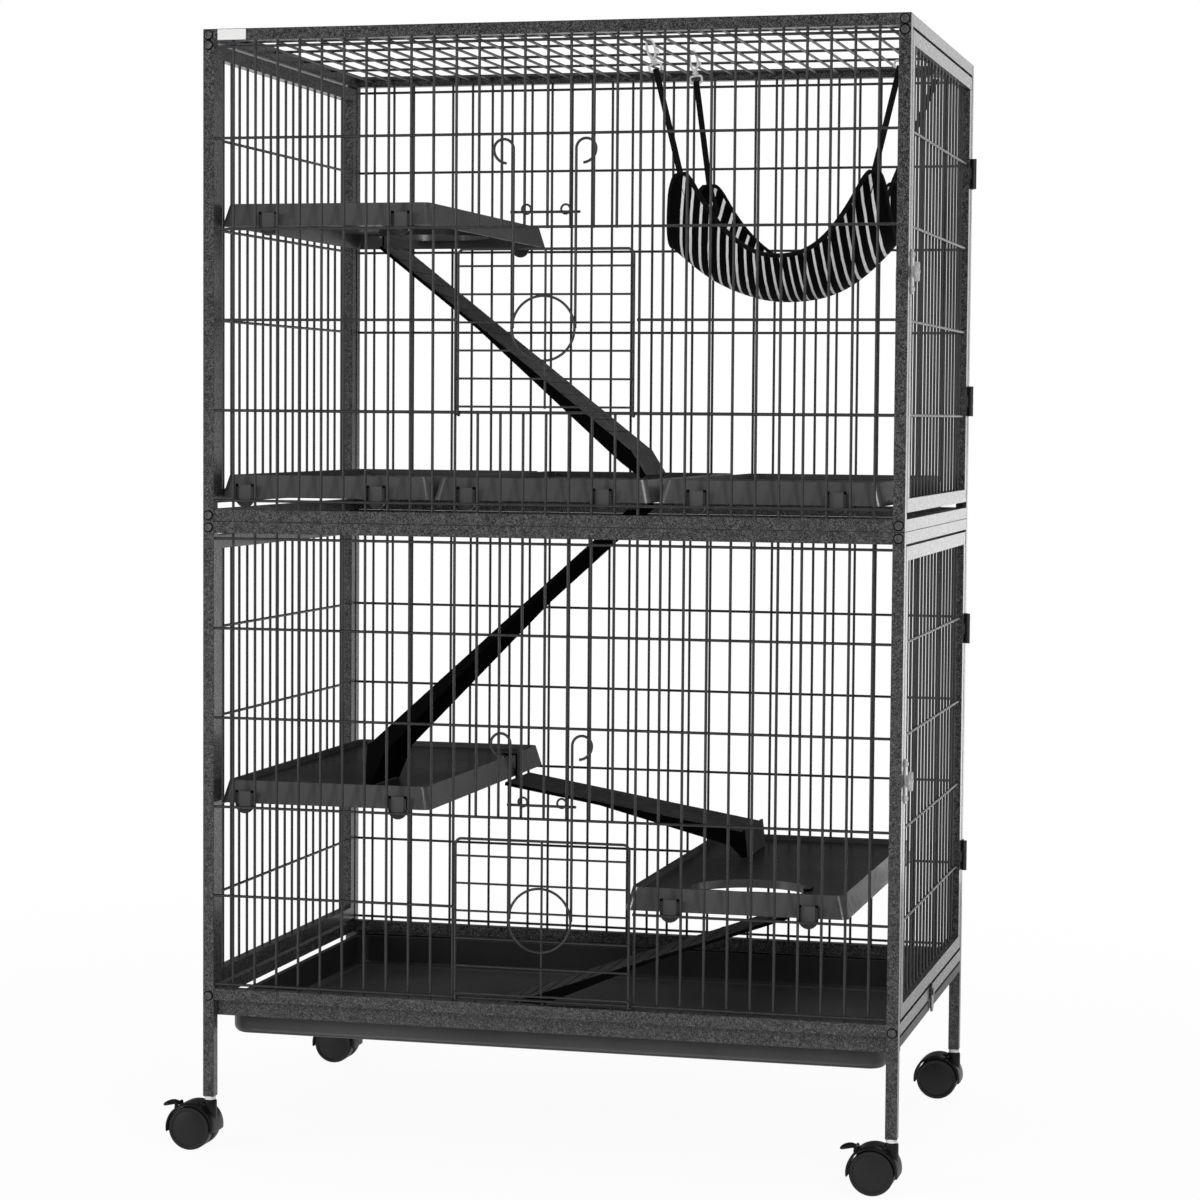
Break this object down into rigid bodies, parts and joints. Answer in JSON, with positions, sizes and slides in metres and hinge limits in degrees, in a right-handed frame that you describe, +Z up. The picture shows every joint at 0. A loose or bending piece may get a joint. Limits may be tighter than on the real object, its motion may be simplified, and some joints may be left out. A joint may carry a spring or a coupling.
{
  "type": "small animal cage",
  "caption": "Tall wire cage of stacked storeys on casters with side doors, drop-down hatches, shelves, ramps, a hammock and a slide-out base tray.",
  "frame": {"origin": "centre of the footprint, casters included, on the floor", "axes": "+Z up, +X to the side with the doors, -Y to the front with the hatches"},
  "size_m": [0.8484, 0.539, 1.2571],
  "materials": {
    "frame_coating": "charcoal hammered powder coat",
    "wire_coating": "dark powder coat on welded wire",
    "runner_coating": "speckled charcoal powder coat",
    "hinge_metal": "dark painted steel",
    "latch_metal": "grey painted steel",
    "bolt_metal": "dark painted steel",
    "badge_metal": "plain white plate with nothing on it",
    "shelf_plastic": "moulded charcoal plastic",
    "ramp_plastic": "moulded charcoal plastic",
    "tray_plastic": "moulded dark plastic",
    "hammock_fabric": "black cloth with thin pale diagonal stripes",
    "strap_webbing": "narrow black webbing",
    "hook_plastic": "white plastic",
    "wheel_plastic": "black nylon",
    "hood_plastic": "black plastic",
    "plug_plastic": "pale plastic"
  },
  "bodies": {
    "cage": {"badge_plate": "badge_metal", "bolt_heads": "bolt_metal", "bottom_rails": "frame_coating", "fixed_hinge_leaves": "hinge_metal", "front_lower_mesh": "wire_coating", "front_upper_mesh": "wire_coating", "hammock_cloth": "hammock_fabric", "hammock_hooks": "hook_plastic", "hammock_straps": "strap_webbing", "left_lower_frame": "frame_coating", "left_lower_mesh": "wire_coating", "left_upper_frame": "frame_coating", "left_upper_mesh": "wire_coating", "leg_plugs": "plug_plastic", "lower_posts": "frame_coating", "lower_top_rails": "frame_coating", "ramp_base": "ramp_plastic", "ramp_lower": "ramp_plastic", "ramp_middle": "ramp_plastic", "ramp_upper": "ramp_plastic", "rear_lower_mesh": "wire_coating", "rear_upper_mesh": "wire_coating", "shelf_lower_left": "shelf_plastic", "shelf_lower_right": "shelf_plastic", "shelf_middle_centre": "shelf_plastic", "shelf_middle_left": "shelf_plastic", "shelf_middle_right": "shelf_plastic", "shelf_upper_left": "shelf_plastic", "top_mesh": "wire_coating", "top_rails": "frame_coating", "tray_runners": "runner_coating", "upper_floor_rails": "frame_coating", "upper_posts": "frame_coating"},
    "upper_door": {"upper_door_frame": "frame_coating", "upper_door_mesh": "wire_coating", "upper_door_hinge_leaves": "hinge_metal", "upper_door_latch_plate": "latch_metal"},
    "lower_door": {"lower_door_frame": "frame_coating", "lower_door_mesh": "wire_coating", "lower_door_hinge_leaves": "hinge_metal", "lower_door_latch_plate": "latch_metal"},
    "upper_latch": {"upper_door_latch": "latch_metal"},
    "lower_latch": {"lower_door_latch": "latch_metal"},
    "upper_hatch": {"upper_hatch_door": "wire_coating", "upper_hatch_latch_wire": "wire_coating"},
    "lower_hatch": {"lower_hatch_door": "wire_coating", "lower_hatch_latch_wire": "wire_coating"},
    "tray": {"base_tray": "tray_plastic"},
    "tab": {"tray_tab": "runner_coating"},
    "hood_front_left": {"caster_front_left_hood": "hood_plastic"},
    "wheels_front_left": {"caster_front_left_wheels": "wheel_plastic"},
    "brake_front_left": {"caster_front_left_brake": "hood_plastic"},
    "hood_front_right": {"caster_front_right_hood": "hood_plastic"},
    "wheels_front_right": {"caster_front_right_wheels": "wheel_plastic"},
    "brake_front_right": {"caster_front_right_brake": "hood_plastic"},
    "hood_rear_left": {"caster_rear_left_hood": "hood_plastic"},
    "wheels_rear_left": {"caster_rear_left_wheels": "wheel_plastic"},
    "hood_rear_right": {"caster_rear_right_hood": "hood_plastic"},
    "wheels_rear_right": {"caster_rear_right_wheels": "wheel_plastic"}
  },
  "joints": [
    {"name": "upper_door_hinge", "type": "hinge", "parent": "cage", "child": "upper_door", "pos_m": [0.41876, 0.242, 0.985], "axis": [0, 0, 1], "range_deg": [0, 170]},
    {"name": "lower_door_hinge", "type": "hinge", "parent": "cage", "child": "lower_door", "pos_m": [0.41876, 0.242, 0.44], "axis": [0, 0, 1], "range_deg": [0, 170]},
    {"name": "upper_latch_turn", "type": "hinge", "parent": "upper_door", "child": "upper_latch", "pos_m": [0.41516, -0.231, 0.986], "axis": [-1, 0, 0], "range_deg": [0, 90]},
    {"name": "lower_latch_turn", "type": "hinge", "parent": "lower_door", "child": "lower_latch", "pos_m": [0.41516, -0.231, 0.443], "axis": [-1, 0, 0], "range_deg": [0, 90]},
    {"name": "upper_hatch_hinge", "type": "hinge", "parent": "cage", "child": "upper_hatch", "pos_m": [0.02016, -0.25337, 0.834], "axis": [1, 0, 0], "range_deg": [0, 120]},
    {"name": "lower_hatch_hinge", "type": "hinge", "parent": "cage", "child": "lower_hatch", "pos_m": [0.02016, -0.25337, 0.1885], "axis": [1, 0, 0], "range_deg": [0, 90]},
    {"name": "tray_slide", "type": "slide", "parent": "cage", "child": "tray", "axis": [1, 0, 0], "range_m": [0, 0.235]},
    {"name": "tab_turn", "type": "hinge", "parent": "cage", "child": "tab", "pos_m": [0.41616, -0.01, 0.177], "axis": [1, 0, 0], "range_deg": [0, 60]},
    {"name": "swivel_front_left", "type": "hinge", "parent": "cage", "child": "hood_front_left", "pos_m": [-0.36834, -0.25, 0.065], "axis": [0, 0, 1], "continuous": true},
    {"name": "roll_front_left", "type": "hinge", "parent": "hood_front_left", "child": "wheels_front_left", "pos_m": [-0.38734, -0.25, 0.0245], "axis": [0, 1, 0], "continuous": true},
    {"name": "brake_lever_front_left", "type": "hinge", "parent": "hood_front_left", "child": "brake_front_left", "pos_m": [-0.40604, -0.25, 0.0493], "axis": [0, -1, 0], "range_deg": [0, 10]},
    {"name": "swivel_front_right", "type": "hinge", "parent": "cage", "child": "hood_front_right", "pos_m": [0.40866, -0.25, 0.065], "axis": [0, 0, 1], "continuous": true},
    {"name": "roll_front_right", "type": "hinge", "parent": "hood_front_right", "child": "wheels_front_right", "pos_m": [0.38966, -0.25, 0.0245], "axis": [0, 1, 0], "continuous": true},
    {"name": "brake_lever_front_right", "type": "hinge", "parent": "hood_front_right", "child": "brake_front_right", "pos_m": [0.37096, -0.25, 0.0493], "axis": [0, -1, 0], "range_deg": [0, 10]},
    {"name": "swivel_rear_left", "type": "hinge", "parent": "cage", "child": "hood_rear_left", "pos_m": [-0.36834, 0.25, 0.065], "axis": [0, 0, 1], "continuous": true},
    {"name": "roll_rear_left", "type": "hinge", "parent": "hood_rear_left", "child": "wheels_rear_left", "pos_m": [-0.38734, 0.25, 0.0245], "axis": [0, 1, 0], "continuous": true},
    {"name": "swivel_rear_right", "type": "hinge", "parent": "cage", "child": "hood_rear_right", "pos_m": [0.40866, 0.25, 0.065], "axis": [0, 0, 1], "continuous": true},
    {"name": "roll_rear_right", "type": "hinge", "parent": "hood_rear_right", "child": "wheels_rear_right", "pos_m": [0.38966, 0.25, 0.0245], "axis": [0, 1, 0], "continuous": true}
  ]
}
